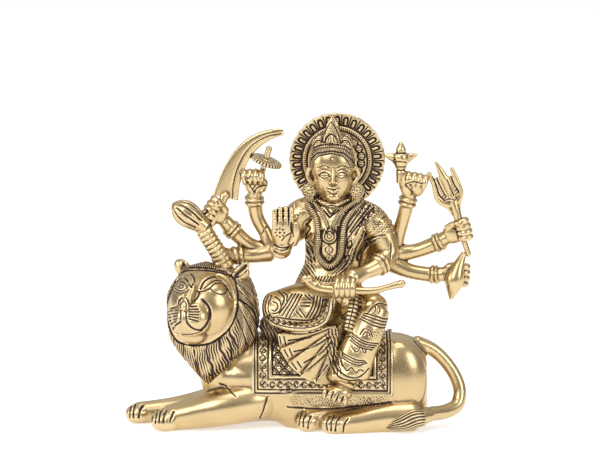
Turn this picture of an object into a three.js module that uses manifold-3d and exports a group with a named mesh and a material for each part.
// Eight-armed Durga seated sideways on a lying lion, one brass casting with its brazed arms.
// Millimetres, +Z up, the viewer looks along +Y, and the lion lies along X with its head at -X.
// The origin is on the flat underside of the lion, below its middle.
import * as THREE from "three";
import { mergeVertices } from "three/addons/utils/BufferGeometryUtils.js";
import Module from "manifold-3d";

const wasm = await Module();
wasm.setup();

// Driving sizes. The pose below is written for a statue 196 mm high and follows STATUE_HEIGHT.
const STATUE_HEIGHT = 196;
const POSE_HEIGHT = 196;
const HALO_RADIUS = 30;
const HALO_THICKNESS = 2.6;
const HALO_ARCHES = 30;
const SADDLE_CLOTH_THICKNESS = 1.2;
const SADDLE_CLOTH_RIM = 0.8;
const SADDLE_CLOTH_RIM_WIDTH = 3.5;
const BANGLE_WIDTH = 2.8;
const BANGLE_PROUD = 1.5;
const SWORD_THICKNESS = 3;
const TRIDENT_ROD = 1.7;
const DISCUS_RADIUS = 10;
const DISCUS_THICKNESS = 2.6;
const TRIDENT_WEB = 1.8;
const GARLAND_RADIUS = 1.7;
const MANE_LOCKS = 14;
const MANE_LOCK_DEPTH = 0.05;
const PLEATS = 7;
const BRASS = new THREE.MeshStandardMaterial({ color: 0xb5934a, roughness: 0.32, metalness: 1 });

const part = STATUE_HEIGHT / POSE_HEIGHT;
const at = (x, y, z) => new THREE.Vector3(x, y, z).multiplyScalar(part);
const FRONT = new THREE.Vector3(0, -1, 0);
const UP = new THREE.Vector3(0, 0, 1);
const range = (count) => Array.from({ length: count }, (_, i) => i);
const mix = (a, b, t) => a + (b - a) * t;

// Turns a closed geometry into a solid, facing out.
function solidOf(geometry) {
  const plain = new THREE.BufferGeometry();
  plain.setAttribute("position", geometry.getAttribute("position"));
  if (geometry.index) plain.setIndex(geometry.index);
  const merged = mergeVertices(plain, 1e-4);
  const positions = merged.attributes.position.array;
  const corners = new Uint32Array(merged.index.array);
  const build = () =>
    new wasm.Manifold(new wasm.Mesh({ numProp: 3, vertProperties: positions, triVerts: corners }));
  const solid = build();
  if (solid.volume() > 0) return solid;
  for (let i = 0; i < corners.length; i += 3)
    [corners[i + 1], corners[i + 2]] = [corners[i + 2], corners[i + 1]];
  return build();
}

// Joins solids two by two, so that no join handles more of the model than it needs.
function fuse(solids) {
  const list = solids.flat(Infinity);
  if (list.length === 1) return list[0];
  const half = Math.ceil(list.length / 2);
  return fuse(list.slice(0, half)).add(fuse(list.slice(half)));
}

// A closed skin over rings of equally many points, with a pole at the middle of each end ring.
function skin(rings, firstPole, lastPole) {
  const sides = rings[0].length;
  const middle = (ring) =>
    ring.reduce((sum, p) => sum.add(p), new THREE.Vector3()).divideScalar(ring.length);
  const points = [firstPole ?? middle(rings[0]), ...rings.flat(), lastPole ?? middle(rings.at(-1))];
  const last = points.length - 1;
  const on = (ring, side) => 1 + ring * sides + (side % sides);
  const faces = [];
  for (const s of range(sides)) {
    faces.push(0, on(0, s + 1), on(0, s), last, on(rings.length - 1, s), on(rings.length - 1, s + 1));
    for (const r of range(rings.length - 1)) {
      faces.push(on(r, s), on(r, s + 1), on(r + 1, s + 1));
      faces.push(on(r, s), on(r + 1, s + 1), on(r + 1, s));
    }
  }
  const geometry = new THREE.BufferGeometry().setFromPoints(points);
  geometry.setIndex(faces);
  return solidOf(geometry);
}

// A curve through stations [x, y, z, radius], with its radius and its two cross directions at each share.
function line(stations, facing = FRONT) {
  const curve = new THREE.CatmullRomCurve3(stations.map(([x, y, z]) => at(x, y, z)), false, "centripetal");
  const radii = new THREE.SplineCurve(stations.map((s, i) => new THREE.Vector2(i, s[3] * part)));
  const whole = curve.getPoint(1).sub(curve.getPoint(0)).normalize();
  const reference = Math.abs(whole.dot(facing)) > 0.9 ? UP : facing;
  return (t) => {
    const along = curve.getTangent(t).normalize();
    const side = new THREE.Vector3().crossVectors(along, reference).normalize();
    const out = new THREE.Vector3().crossVectors(side, along);
    return { point: curve.getPoint(t), radius: radii.getPoint(t).y, along, side, out };
  };
}

// How far out the corners of a polygon go, so that it is on average as wide as the circle it stands for.
const fair = (sides) => 2 / (1 + Math.cos(Math.PI / sides));

// A ring of a limb: an ellipse of the local radius, `flat` times as deep as it is wide.
function ringAt(spot, sides, flat, shrink = 1, shift = 0) {
  const radius = spot.radius * fair(sides) * shrink;
  return range(sides).map((s) => {
    const turn = ((s + 0.5) / sides) * 2 * Math.PI;
    return spot.point
      .clone()
      .addScaledVector(spot.along, shift * spot.radius)
      .addScaledVector(spot.side, Math.cos(turn) * radius)
      .addScaledVector(spot.out, Math.sin(turn) * radius * flat);
  });
}

// A limb: a round or flattened tube along stations, with rounded ends.
// Bands are raised rings on it, each a list of [share of the length, height above the limb].
function limb(stations, { sides = 8, flat = 1, facing = FRONT, round = 0.7, bands = [] } = {}) {
  const spot = line(stations, facing);
  const count = stations.length - 1;
  const plain = range(count + 1).map((i) => [i / count, 0]);
  const free = plain.filter(([t]) => bands.every((band) => t < band[0][0] || t > band.at(-1)[0]));
  const places = [...free, ...bands.flat()].sort((a, b) => a[0] - b[0]);
  const rings = places.map(([t, proud]) => {
    const here = spot(t);
    return ringAt({ ...here, radius: here.radius + proud }, sides, flat);
  });
  const [start, end] = [spot(0), spot(1)];
  if (round > 0.5) {
    rings.unshift(ringAt(start, sides, flat, 0.72, -round * 0.65));
    rings.push(ringAt(end, sides, flat, 0.72, round * 0.65));
  }
  const first = start.point.clone().addScaledVector(start.along, -round * start.radius);
  const last = end.point.clone().addScaledVector(end.along, round * end.radius);
  return skin(rings, first, last);
}

// Profile points [radius, height] at the statue's size.
const sized = (profile) => profile.map(([r, h]) => [r * part, h * part]);

// A limb with short domed ends, for rods, ropes and beaded rows.
const rod = (stations, sides = 5) => limb(stations, { sides, round: 0.4 });

// A bangle round a limb at one of its stations, as a band for limb().
function bangle(stations, index, proud = BANGLE_PROUD) {
  const segments = stations.length - 1;
  const [here, before] = [stations[index], stations[index - 1]];
  const length = Math.hypot(...[0, 1, 2].map((k) => here[k] - before[k])) * part;
  const [t, step] = [index / segments, BANGLE_WIDTH / (length * segments)];
  return [[t - step, 0], [t, proud], [t + step, 0]];
}

// Knuckles, toes or beads side by side: a bar whose radius swells once for each of them.
function knuckles(from, to, radius, count, { sides = 5, dip = 0.74 } = {}) {
  const stations = range(count * 2 - 1).map((i) => {
    const t = i / (count * 2 - 2);
    const swell = i % 2 ? dip : 1;
    return [0, 1, 2].map((k) => mix(from[k], to[k], t)).concat(radius * swell);
  });
  return limb(stations, { sides, round: 0.5 });
}

// An egg: a sphere with its own half-sizes, turned about Z by yaw.
function egg([x, y, z], [a, b, c], { yaw = 0, wide = 10, high = 6 } = {}) {
  const geometry = new THREE.SphereGeometry(1, wide, high);
  geometry.rotateX(Math.PI / 2);
  geometry.scale(a * part * fair(wide), b * part * fair(wide), c * part);
  geometry.rotateZ(yaw);
  geometry.translate(...at(x, y, z).toArray());
  return solidOf(geometry);
}

// A turned part: a profile of [radius, height] about an axis through a point.
function turned(profile, [x, y, z], axis, sides = 16) {
  const geometry = new THREE.LatheGeometry(profile.map(([r, h]) => new THREE.Vector2(r, h)), sides);
  const lathe = new THREE.Vector3(0, 1, 0);
  const turn = new THREE.Quaternion().setFromUnitVectors(lathe, axis.clone().normalize());
  geometry.applyQuaternion(turn);
  geometry.translate(...at(x, y, z).toArray());
  return solidOf(geometry);
}

function block([x0, y0, z0], [x1, y1, z1]) {
  const low = at(x0, y0, z0);
  const high = at(x1, y1, z1);
  const size = high.clone().sub(low);
  const geometry = new THREE.BoxGeometry(size.x, size.y, size.z);
  geometry.translate(...low.add(high).multiplyScalar(0.5).toArray());
  return solidOf(geometry);
}

// A stack of level ovals: rows of [z, centre x, centre y, half width, half depth], with a pole at each end.
// Flutes alternate between two radii round the oval.
function ovals(rows, sides, flute = 0, bottom = undefined, top = undefined) {
  const rings = rows.map(([z, cx, cy, half, deep]) =>
    range(sides).map((s) => {
      const turn = (s / sides) * 2 * Math.PI;
      const swell = 1 + flute * (s % 2 ? 1 : -1);
      return at(cx + half * swell * Math.cos(turn), cy + deep * swell * Math.sin(turn), z);
    }),
  );
  return skin(rings, bottom && at(...bottom), top && at(...top));
}

// The lion's trunk as a loaf along X: [x, half width, top, floor]. What is below the ground is cut off at the
// end, so the lion rests on its haunches and paws, and its belly is clear of the ground.
const TRUNK = [
  [-55, 5, 33, 17],
  [-50.5, 12, 45, 8],
  [-42, 19, 55.5, 1.5],
  [-14, 22, 57, 1.5],
  [-4, 22, 57, -6],
  [30, 23, 56.5, -6],
  [62, 23.5, 57.5, -6],
  [73, 20, 53.5, -6],
  [78.6, 12, 45, -2],
  [80, 6, 38, 4],
];
const TRUNK_SQUARENESS = 0.8;

function trunkAt(x) {
  const last = TRUNK.length - 2;
  const i = TRUNK.findIndex((row, k) => k === last || x <= TRUNK[k + 1][0]);
  const t = Math.min(1, Math.max(0, (x - TRUNK[i][0]) / (TRUNK[i + 1][0] - TRUNK[i][0])));
  return [1, 2, 3].map((k) => mix(TRUNK[i][k], TRUNK[i + 1][k], t));
}

function trunk(stations, grow = 0, sides = 12) {
  const bulge = (value) => Math.sign(value) * Math.abs(value) ** TRUNK_SQUARENESS;
  const rings = stations.map((x) => {
    const [half, top, floor] = trunkAt(x);
    const middle = (top + floor) / 2;
    return range(sides).map((s) => {
      const turn = (s / sides) * 2 * Math.PI;
      const p = at(x, half * bulge(Math.cos(turn)), middle + (top - middle) * bulge(Math.sin(turn)));
      return p.add(new THREE.Vector3(0, grow * Math.cos(turn), grow * Math.sin(turn)));
    });
  });
  return skin(rings);
}

// Near foreleg, far foreleg, near hind leg and far hind foot.
const LION_LEGS = [
  [[-20, -9, 18, 11], [-34, -14, 16.5, 12.6], [-52, -18, 13.5, 11.6], [-69, -18, 9.8, 9.6],
    [-83, -18, 7, 7.8]],
  [[-45, 9, 12, 13.4], [-62, 8, 9.6, 10.2], [-80, 6, 7.4, 8.2], [-103, 3.5, 5.8, 7]],
  [[70, -20, 9, 10], [52, -22, 8.5, 9.5], [34, -26, 6.5, 7.8], [20, -28, 5.5, 7]],
  [[26, -17, 8, 9], [12, -20, 7.5, 7.6], [4.6, -21, 6.5, 6.8]],
];

function lionBody() {
  const lying = { sides: 7, facing: UP, round: 0.4 };
  return [
    trunk(TRUNK.map((row) => row[0])),
    egg([-50, -6, 35], [13.5, 13, 20], { wide: 8, high: 5 }),
    ...LION_LEGS.map((stations) => limb(stations, lying)),
    egg([60.7, -13, 29], [18.7, 11.5, 27], { wide: 10, high: 5 }),
    egg([60.7, 13, 29], [18.7, 11.5, 27], { wide: 8, high: 5 }),
    knuckles([-81.2, -24.6, 5], [-87.4, -15.2, 5], 5.2, 4),
    knuckles([-104, -2.6, 4.8], [-107.4, 8.4, 4.8], 5, 4, { sides: 4 }),
    knuckles([16.2, -34, 5], [19, -22, 5], 5, 4),
    knuckles([0.2, -26.4, 5], [1, -18.6, 5], 4.7, 3, { sides: 4 }),
  ];
}

// The saddle cloth: a raised sheet over back and flanks with a raised rim round its edge.
const CLOTH_FROM = -30;
const CLOTH_TO = 57.5;
const CLOTH_HEM = 22.8;
function saddleCloth() {
  const rim = SADDLE_CLOTH_RIM_WIDTH / part;
  const stations = [CLOTH_FROM, -12, 30, CLOTH_TO];
  const above = (low, from, to) => block([from, -60, low], [to, 60, 90]);
  const past = 1;
  const sheet = trunk(stations, SADDLE_CLOTH_THICKNESS).intersect(
    above(CLOTH_HEM, CLOTH_FROM - past, CLOTH_TO + past),
  );
  const frame = above(CLOTH_HEM - past, CLOTH_FROM - past, CLOTH_TO + past).subtract(
    above(CLOTH_HEM + rim, CLOTH_FROM + rim, CLOTH_TO - rim),
  );
  return [sheet, trunk(stations, SADDLE_CLOTH_THICKNESS + SADDLE_CLOTH_RIM).intersect(frame)];
}

function tail() {
  const loop = [[73, 2, 51.5, 4.6], [83, 3, 46.8, 4.3], [91.7, 3, 38.6, 4.1], [98, 2, 28.8, 4.1],
    [100.4, 0, 20, 4.2], [98.6, -3, 12.6, 4.5], [91.4, -9, 9.6, 4.6], [82, -17, 9.8, 4.6],
    [74, -23, 9.6, 4.8]];
  const tuft = [[80, -22, 9.5, 4], [72, -27, 9, 6], [64, -29, 7, 5.6], [53.5, -29, 4, 1.6]];
  return [rod(loop, 6), rod(tuft, 7)];
}

// The lion's head is turned towards the viewer. Points on it are given from its centre:
// across (to the viewer's right), ahead (out of the face) and up.
const HEAD_YAW = -0.42;
const HEAD_CENTRE = [-60, -15, 77];
function onHead(across, ahead, up) {
  const [cx, cy, cz] = HEAD_CENTRE;
  const x = across * Math.cos(HEAD_YAW) + ahead * Math.sin(HEAD_YAW);
  const y = across * Math.sin(HEAD_YAW) - ahead * Math.cos(HEAD_YAW);
  return [cx + x, cy + y, cz + up];
}

function lionHead() {
  const turn = { yaw: HEAD_YAW };
  const ears = [[-17.6, -6.6], [21.3, -9.7]].map(([across, ahead]) => {
    const outward = { yaw: HEAD_YAW - across * 0.02, wide: 7, high: 4 };
    const cup = egg(onHead(across, ahead + 3.4, 23.2), [3.4, 2.8, 4.2], { ...turn, wide: 5, high: 3 });
    return egg(onHead(across, ahead, 22.2), [5.8, 3.4, 6.4], outward).subtract(cup);
  });
  const eyes = [-1, 1].map((side) =>
    egg(onHead(side * 12, 13.4, 14.2), [3.9, 2.2, 2.2], { yaw: HEAD_YAW - side * 0.6, wide: 6, high: 3 }),
  );
  return [
    egg(HEAD_CENTRE, [22, 20.5, 23], { ...turn, wide: 12, high: 7 }),
    egg(onHead(0, 17, -4.5), [12.5, 10.5, 11.6], { ...turn, wide: 8, high: 5 }),
    egg(onHead(0, 15, -15.4), [8.2, 7.4, 5.4], { ...turn, wide: 8, high: 4 }),
    rod([[...onHead(0, 17, 15), 3.6], [...onHead(0, 23, 9), 3.2], [...onHead(0, 26.4, 5.6), 3]]),
    eyes,
    ears,
  ];
}

// The mane falls round the head to a point under the chin.
const MANE = [
  [36, -57, -17.5, 8.4, 7.5],
  [44, -56, -16, 16.2, 12],
  [56, -54.6, -13, 26.2, 17.5],
  [72, -54.3, -10, 29, 20],
  [86, -55.1, -7, 27.4, 20],
  [96, -54.5, -6, 21.5, 15],
  [101, -57.5, -7, 15, 10],
];
const mane = () => ovals(MANE, MANE_LOCKS * 2, MANE_LOCK_DEPTH, [-57.5, -20, 28.5], [-59, -7, 105]);

// The goddess's trunk from her seat to the base of the neck.
const TORSO = [
  [54, 24, 0, 20, 14],
  [80, 20.5, -2, 23, 14],
  [88, 17.5, -3, 21.5, 13],
  [95, 18, -2, 19.2, 12],
  [102, 19.4, -1, 17.2, 11],
  [110, 20.8, -1.5, 17.8, 12.2],
  [120, 22.6, -2, 20, 12.8],
  [129, 23.5, -1, 21.5, 11],
  [137, 22.5, 0, 19, 9.5],
  [142, 22.5, 1, 12, 8],
];
function torso() {
  return [
    ovals(TORSO, 10),
    rod([[21.5, 0, 134, 8], [21, -2, 147, 6.6]], 8),
    [13, 30].map((x) => egg([x, -9, 119], [7, 6, 6.5], { wide: 8, high: 5 })),
    rod([[39, 3, 120, 5.5], [41, 5, 107, 5.5], [37, 4, 96, 5]]),
    egg([-15, -8, 64], [12, 11, 10], { wide: 8, high: 4 }),
  ];
}

// Folded leg, hanging leg, the cloth over both, ankle and foot.
const SHIN = [[46.8, -23, 77, 9.2], [41.5, -28.5, 65.5, 10.6], [35, -31, 50, 11.4], [32, -32, 38, 11.2]];
const FOLDED_LEG = [[16, -6, 77, 12.5], [2, -16, 77.4, 11.9], [-8, -20, 76.9, 10.8],
  [-16.8, -21.5, 76.4, 9.2]];
const FOLDED_LEG_DEPTH = 1.35;
function legs() {
  const band = (t) => [[t, 0], [t + 0.03, BANGLE_PROUD * 0.6], [t + 0.06, 0]];
  const tilted = new THREE.Vector3(0, -1, 0.3);
  const sloping = new THREE.Vector3(0, -1, -1).normalize();
  const ankle = [[30, -32, 38, 5.4], [27.5, -33.5, 32, 5], [25, -35, 26, 5]];
  return [
    limb(FOLDED_LEG, { sides: 10, facing: sloping, flat: FOLDED_LEG_DEPTH }),
    limb([[32, -5, 76, 13], [41, -15, 78, 11], [46, -22, 77.5, 9.2]], { sides: 8 }),
    limb(SHIN, { sides: 8, facing: tilted, flat: 0.86, round: 0.25, bands: [0.26, 0.58, 0.9].map(band) }),
    limb(ankle, { sides: 6, round: 0.4, bands: [bangle(ankle, 1, BANGLE_PROUD * 1.4)] }),
    egg([23.5, -35.3, 26.5], [8.8, 6.2, 5.4], { yaw: 0.1, wide: 8, high: 4 }),
    knuckles([14, -40, 26.6], [28, -40, 20.4], 3.2, 5, { sides: 4 }),
  ];
}

// Pleats fan out from under the folded leg to a curved hem, as one sheet with a ridge for each of them.
function pleats() {
  const edge = [[-14.5, -25, 63], [-13, -27, 54], [-8.3, -28, 45], [-0.6, -29, 37], [9, -29.5, 32],
    [20, -30, 30.5]];
  const hem = line(edge.map((p) => [...p, 0]));
  const apex = at(25, -27, 68);
  const columns = PLEATS * 2 - 1;
  const rings = [0.12, 0.55, 0.96, 1].map((share, row) => {
    const front = range(columns).map((i) => {
      const ridge = row === 3 ? 1 : (i % 2 ? 2 : 5) * (0.4 + share * 0.6);
      return apex.clone().lerp(hem(i / (columns - 1)).point, share).add(at(0, -ridge, 0));
    });
    const back = [1, 0].map((t) => apex.clone().lerp(hem(t).point, share).add(at(0, 3, 0)));
    return [...front, ...back];
  });
  return skin(rings);
}

// Raised trimmings on the dress: sash, hem of the folded leg, garland, necklaces, medallion and girdle.
function trimmings() {
  const rope = GARLAND_RADIUS / part;
  const garland = [[5, -7, 141], [9.8, -12, 132], [11, -14, 122], [11, -13, 109], [18.2, -13, 102.4],
    [24.6, -13, 108.5], [26, -14.6, 120], [27.8, -12.6, 130.5], [35.5, -5.5, 140]];
  const medallion = sized([[0, -2], [4.4, -2], [4.7, 0], [3.4, 1], [0, 0.8]]);
  const hem = [[-20, -26, 71, 2], [-8, -32, 67.6, 2.2], [7, -33.5, 67.6, 2.2], [16, -33, 73, 2.2],
    [20.5, -28, 84, 2]];
  return [
    rod([[33.5, -20, 88, 2.8], [32.5, -27, 79, 3.5], [29.5, -32, 67, 2.8]]),
    rod(hem),
    rod(garland.map((p) => [...p, rope])),
    turned(medallion, [18.4, -15.2, 121.4], FRONT, 8),
    rod([[10, -5, 143, 1.6], [19.5, -10.6, 140.6, 1.9], [30, -5, 143, 1.6]]),
    rod([[4, -10, 96, 1.6], [14, -14.6, 92, 1.9], [26, -13.6, 92.5, 1.8], [36, -8, 96, 1.5]]),
  ];
}

// Head, ears, earrings and hair behind them.
function head() {
  const disc = sized([[0, -1.5], [4.5, -1.5], [4.5, 0.6], [0, 1.4]]);
  const locks = [[13.5, -4.5, 153, 2.4], [14, -3.5, 144, 3.2], [12.5, -2, 133, 4]];
  const sides = [-1, 1].map((side) => [
    egg([20.3 + side * 5.2, -16, 158.3], [3.1, 1.7, 1.5], { yaw: side * 0.35, wide: 6, high: 3 }),
    turned(disc, [20.3 + side * 15, -7, 147.5], new THREE.Vector3(side * 0.25, -1, 0), 8),
    rod(locks.map(([across, ...rest]) => [20.3 + side * across, ...rest])),
  ]);
  return [
    egg([20.3, -6.5, 156.5], [12.2, 12, 14.8], { wide: 10, high: 7 }),
    rod([[20.3, -17, 161, 1], [20.3, -19.4, 154.4, 1.9]], 4),
    egg([20.3, -13.6, 144.6], [4.6, 3.8, 3.4], { wide: 6, high: 4 }),
    sides,
  ];
}

// The tiered crown with its pointed front leaf and a smaller leaf on that.
function crown() {
  const tiers = [[0, 0], [13.8, 0.6], [13.8, 3], [12.6, 4], [13.4, 5], [13.4, 7], [12.2, 8], [12.6, 13],
    [9.6, 18], [5, 23], [0, 28.6]];
  const leaf = (x, z, wide, high, y) => {
    const shape = new THREE.Shape();
    shape.moveTo(-wide * part, 0);
    shape.quadraticCurveTo(-wide * part, high * 0.5 * part, 0, high * part);
    shape.quadraticCurveTo(wide * part, high * 0.5 * part, wide * part, 0);
    const plate = { depth: 4 * part, bevelEnabled: false, curveSegments: 2 };
    const geometry = new THREE.ExtrudeGeometry(shape, plate);
    geometry.rotateX(Math.PI / 2 - 0.12);
    geometry.translate(...at(x, y, z).toArray());
    return solidOf(geometry);
  };
  return [
    turned(sized(tiers), [20.3, -3.5, 165], new THREE.Vector3(0, 0.12, 1), 12),
    leaf(20.3, 172.5, 7.4, 20.5, -9),
    leaf(20.3, 172.5, 4.6, 10.5, -11.5),
  ];
}

// The halo: a dished disc with a beaded ring, and rays between two radii round its rim.
const HALO_CENTRE = [23, 6.5, 166.3];
function halo() {
  const [r, t] = [HALO_RADIUS, HALO_THICKNESS];
  const sides = HALO_ARCHES * 2;
  const ring = (share, height, groove = 0) =>
    range(sides).map((s) => {
      const turn = (s / sides) * 2 * Math.PI;
      const low = s % 2 ? groove : 0;
      const [across, up] = [Math.sin(turn) * r * share, Math.cos(turn) * r * share];
      return at(...HALO_CENTRE).add(new THREE.Vector3(across, -(height - low) * t, up));
    });
  const dish = skin([ring(0.7, 0.55), ring(0.77, 0), ring(0.98, 0.5, 0.5), ring(1, -0.5)]);
  const stem = rod([[22, 5, 132, 7], [22.5, 6, 146, 6]], 6);
  return [dish, stem];
}

// Arms run from shoulder to wrist and on to the grip: [x, y, z, radius].
// On each side three forearms share one upper arm, the sword's and the trident's.
const ARMS = {
  blessing: [[9, 0, 138, 7.6], [-1, -1, 132.6, 8.8], [-6, -3, 122, 6.6], [-11.3, -6, 113.8, 5.6],
    [-13.2, -12, 112.7, 5.4], [-11.5, -18, 115, 5.2], [-10.8, -21, 120, 5.4]],
  discus: [[-18, 2, 111, 6], [-21.3, 2, 120, 4.5], [-27, 1, 131, 4.4], [-28.6, 0, 142, 5],
    [-28, -2, 152, 7.3]],
  sword: [[8, 2, 129, 7.5], [-7, 3, 118.6, 6.2], [-20, 2, 110.4, 5.8], [-31, 1, 113.6, 4.6],
    [-42.6, -1, 123.6, 5.1], [-51, -3.5, 134, 7.3]],
  mace: [[-20, 1, 109, 6.4], [-30, -1, 107.5, 5], [-39.5, -4, 108, 4.8], [-47, -6, 106.5, 7]],
  conch: [[57, 4, 108, 6.6], [61, 4, 119, 4.8], [64.4, 3, 130, 4.3], [67, 2, 141, 4.7], [69, 1, 150.5, 7]],
  trident: [[40, 3, 128, 8], [48, 4, 118, 7.5], [57, 4, 109, 7.2], [70, 4, 108.9, 4.8], [86.5, 2, 115.2, 5],
    [95.4, -0.5, 121.3, 7.4]],
  bud: [[54, 3, 104, 7], [68, 1, 97.3, 4.8], [84, 0, 95, 4.8], [94.5, -2, 96, 7.2]],
  bow: [[34, 0, 136.6, 7.6], [44.4, -1, 129.2, 9.6], [51, -2.5, 120, 8.6], [54.5, -5, 109, 7.2],
    [48, -13, 103, 6], [39, -19.5, 99.5, 4.9], [32, -25, 97, 6.4]],
};
function arms() {
  return Object.values(ARMS).map((stations) => {
    const bands = [bangle(stations, stations.length - 2)];
    return limb(stations, { sides: stations.length > 5 ? 6 : 5, round: 0.4, bands });
  });
}

// A closed hand: a bar of curled fingers beyond the palm that ends its arm, and a thumb across the near side.
const FINGER_BAR = 4.2;
const FINGER_SPREAD = 5;
function fist(arm, bar, row, thumb = 1) {
  const palm = new THREE.Vector3(...arm.at(-1));
  const middle = new THREE.Vector3(...bar);
  const w = new THREE.Vector3(...row).normalize();
  const spot = (from, along, ahead) =>
    from.clone().addScaledVector(w, along).addScaledVector(FRONT, ahead).toArray();
  return [
    knuckles(spot(middle, -FINGER_SPREAD, 0), spot(middle, FINGER_SPREAD, 0), FINGER_BAR, 4),
    rod([[...spot(palm, thumb * 5, 3), 2.4], [...spot(middle, thumb * 3, 3.4), 1.9]], 4),
  ];
}

// The open hand held up in blessing.
function openHand() {
  const palm = [[-10.8, -21, 118, 5.4], [-10.6, -22.5, 124, 7.2], [-10.2, -23.2, 130, 6.9]];
  const tips = [137.6, 140, 140.8, 140];
  return [
    limb(palm, { sides: 6, flat: 0.5, round: 0.4 }),
    tips.map((tip, i) => {
      const x = -15 + i * 3.3;
      return limb([[x, -23, 128, 2.1], [x + 0.5, -24.2, tip, 1.9]], { sides: 4 });
    }),
    rod([[-4.6, -22.8, 118, 2.9], [-2.6, -24.6, 125, 2.6], [-2.6, -25.4, 130.6, 2]]),
  ];
}

// Sabre: a curved blade between two arcs that meet at its tip, with a hilt through the fist.
function sword() {
  const arc = (...points) => {
    const corners = points.map(([x, z]) => new THREE.Vector2(x * part, z * part));
    return new THREE.QuadraticBezierCurve(...corners).getPoints(5);
  };
  const back = arc([-52.2, 146.7], [-38.9, 187.4], [-10.3, 186.6]);
  const edge = arc([-10.3, 184.3], [-36.8, 178], [-40, 142.3]);
  const shape = new THREE.Shape([...back, ...edge]);
  const bevel = SWORD_THICKNESS * 0.3;
  const geometry = new THREE.ExtrudeGeometry(shape, {
    depth: SWORD_THICKNESS - 2 * bevel, bevelThickness: bevel, bevelSize: 0.5, bevelSegments: 1,
  });
  geometry.rotateX(Math.PI / 2);
  geometry.translate(0, -4 * part, 0);
  const hilt = limb([[-55, -6, 128.5, 2.4], [-46.5, -5, 146, 2.8]], { sides: 5 });
  return [solidOf(geometry), hilt, fist(ARMS.sword, [-55.5, -5, 138.5], [0.55, 0, 0.83])];
}

function mace() {
  const bulb = sized([[0, -2], [5.2, -2], [6.2, 4], [8.3, 11], [7.9, 16.5], [5.6, 21.8], [0, 24]]);
  const handle = [[-45, -8, 102, 4.4], [-53.8, -9, 114.5, 5.4], [-61.6, -9, 127.2, 5.2]];
  const ribs = range(5).map((i) => [[0.3 + i * 0.13, 0], [0.36 + i * 0.13, BANGLE_PROUD * 0.6]]);
  return [
    turned(bulb, [-60.5, -9, 127.1], new THREE.Vector3(-0.79, -0.03, 0.61), 8),
    limb(handle, { sides: 6, round: 0.4, bands: ribs }),
    fist(ARMS.mace, [-51, -8, 105.5], [-0.45, 0, 0.9], -1),
  ];
}

function discus() {
  const [r, t] = [DISCUS_RADIUS, DISCUS_THICKNESS / 2];
  const profile = [[0, -t], [r, -t * 0.84], [r, t * 0.84], [0, t]];
  return [
    turned(profile, [-21.2, -2, 167], new THREE.Vector3(0.35, -0.15, 0.94), 12),
    rod([[-25, -2, 156, 1.9], [-22, -2, 166, 1.8], [-19.4, -2, 175, 2]]),
    fist(ARMS.discus, [-29.5, -4, 158.5], [1, 0, 0]),
  ];
}

function conch() {
  const middle = 62.6;
  const shell = sized([[0, -14], [2.9, -14], [3, -4.6], [5.2, 0.4], [4.6, 4.4], [2.8, 8], [0, 12.4]]);
  const spines = [[2.5, 168, 3.6], [6.3, 169.6, 2.3], [9.8, 170.4, 1]];
  return [
    turned(shell, [middle, 0, 167], new THREE.Vector3(-0.03, 0, 1), 8),
    [-1, 1].map((side) => rod(spines.map(([x, z, r]) => [middle + side * x, 0, z, r]))),
    egg([72.8, 0, 151], [5.2, 5, 6.8], { wide: 6, high: 4 }),
    fist(ARMS.conch, [72.5, -1, 155.8], [1, 0, -0.2], -1),
  ];
}

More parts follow.
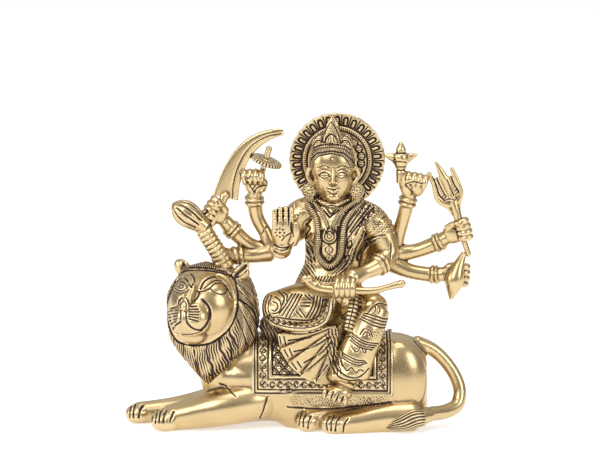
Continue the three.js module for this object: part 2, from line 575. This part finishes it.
function trident() {
  const r = TRIDENT_ROD / part;
  const prongs = [
    [[96.4, -2, 140, r], [91.8, -2, 152, r * 1.5], [88, -2, 159.5, r * 1.3], [84.2, -2, 166.4, r * 0.6]],
    [[95.5, -2, 138.6, r * 1.2], [87, -2, 142, r], [84.6, -2, 149, r], [80, -2, 159.6, r * 0.8]],
    [[97, -2, 139.6, r * 1.2], [100, -2, 145.6, r], [98.2, -2, 153, r], [94, -2, 162.4, r * 0.8]],
  ];
  const shaft = [[94, -2, 146, r * 1.2], [97, -2, 136, r * 1.7], [100.8, -3, 121, r * 1.2],
    [105.2, -2.5, 108, r]];
  const outline = [[93.5, 134], [92.6, 136.7], [84.7, 141.1], [81.8, 151.2], [83.4, 157], [90.8, 158.2],
    [96, 158], [101.6, 147], [99.6, 134.5]];
  const web = new THREE.Shape(outline.map(([x, z]) => new THREE.Vector2(x * part, z * part)));
  const sheet = new THREE.ExtrudeGeometry(web, { depth: TRIDENT_WEB * part, bevelEnabled: false });
  sheet.rotateX(Math.PI / 2);
  sheet.translate(0, (TRIDENT_WEB / 2 - 2) * part, 0);
  return [
    solidOf(sheet),
    rod(shaft),
    prongs.map((points) => rod(points, 4)),
    fist(ARMS.trident, [103, -3, 124.4], [-0.27, 0, 0.96]),
  ];
}

function lotusBud() {
  const bud = [[102, -5, 109, 1.8], [99.2, -7, 102, 3.4], [96.6, -8, 91.6, 5.2], [94.6, -7, 81.6, 1.6]];
  return [
    limb(bud, { sides: 6 }),
    fist(ARMS.bud, [102.2, -4, 95.4], [0.1, 0, 1]),
  ];
}

function bow() {
  const stave = [[2.5, -29, 98, 2.2], [10, -30.5, 92.5, 2.6], [28, -31, 90.6, 2.6], [45, -31, 90.2, 2.3],
    [53, -31, 92.2, 2], [62.6, -30, 94.6, 2.3]];
  return [rod(stave), fist(ARMS.bow, [29, -31, 91.3], [1, 0, -0.1])];
}

function casting() {
  const goddess = [torso(), legs(), pleats(), trimmings(), head(), crown(), halo()];
  const hands = [arms(), openHand(), sword(), mace(), discus(), conch(), trident(), lotusBud(), bow()];
  const lion = [lionBody(), saddleCloth(), mane(), lionHead(), tail()];
  return fuse([lion, goddess, hands]).subtract(block([-300, -300, -100], [300, 300, 0]));
}

function meshOf(name, solid) {
  const { numProp, numVert, vertProperties, triVerts } = solid.getMesh();
  const positions = new Float32Array(numVert * 3);
  for (const i of range(numVert)) positions.set(vertProperties.subarray(i * numProp, i * numProp + 3), i * 3);
  const geometry = new THREE.BufferGeometry();
  geometry.setAttribute("position", new THREE.BufferAttribute(positions, 3));
  geometry.setIndex(new THREE.BufferAttribute(new Uint32Array(triVerts), 1));
  geometry.computeVertexNormals();
  const mesh = new THREE.Mesh(geometry, BRASS);
  mesh.name = name;
  return mesh;
}

const statue = new THREE.Group();
statue.add(meshOf("durga_on_lion", casting()));
export default statue;
